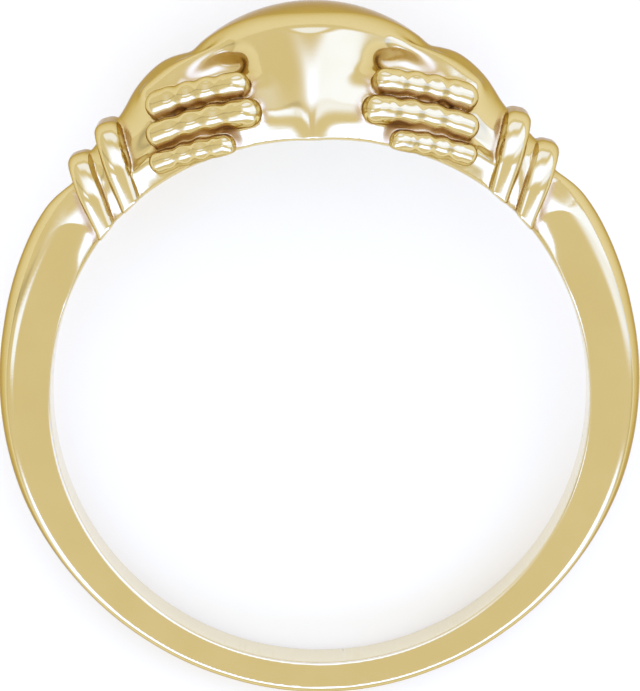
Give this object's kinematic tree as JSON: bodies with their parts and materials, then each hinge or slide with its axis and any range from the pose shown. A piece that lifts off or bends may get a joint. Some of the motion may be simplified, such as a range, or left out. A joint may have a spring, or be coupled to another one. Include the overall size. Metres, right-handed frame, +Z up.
{
  "type": "claddagh ring",
  "caption": "Claddagh finger ring in polished yellow gold: two cuffed hands hold a crowned heart on a plain band.",
  "frame": {"origin": "middle of the lowest level of the ring's box, where it lies on the end balls of its crown and on its band", "axes": "+Z up from the surface it lies on, +Y towards the head with the heart, +X across the ring"},
  "size_m": [0.0206, 0.0222, 0.0092],
  "materials": {
    "gold": "polished"
  },
  "bodies": {
    "root": {"cast_ring": "gold"}
  },
  "joints": []
}
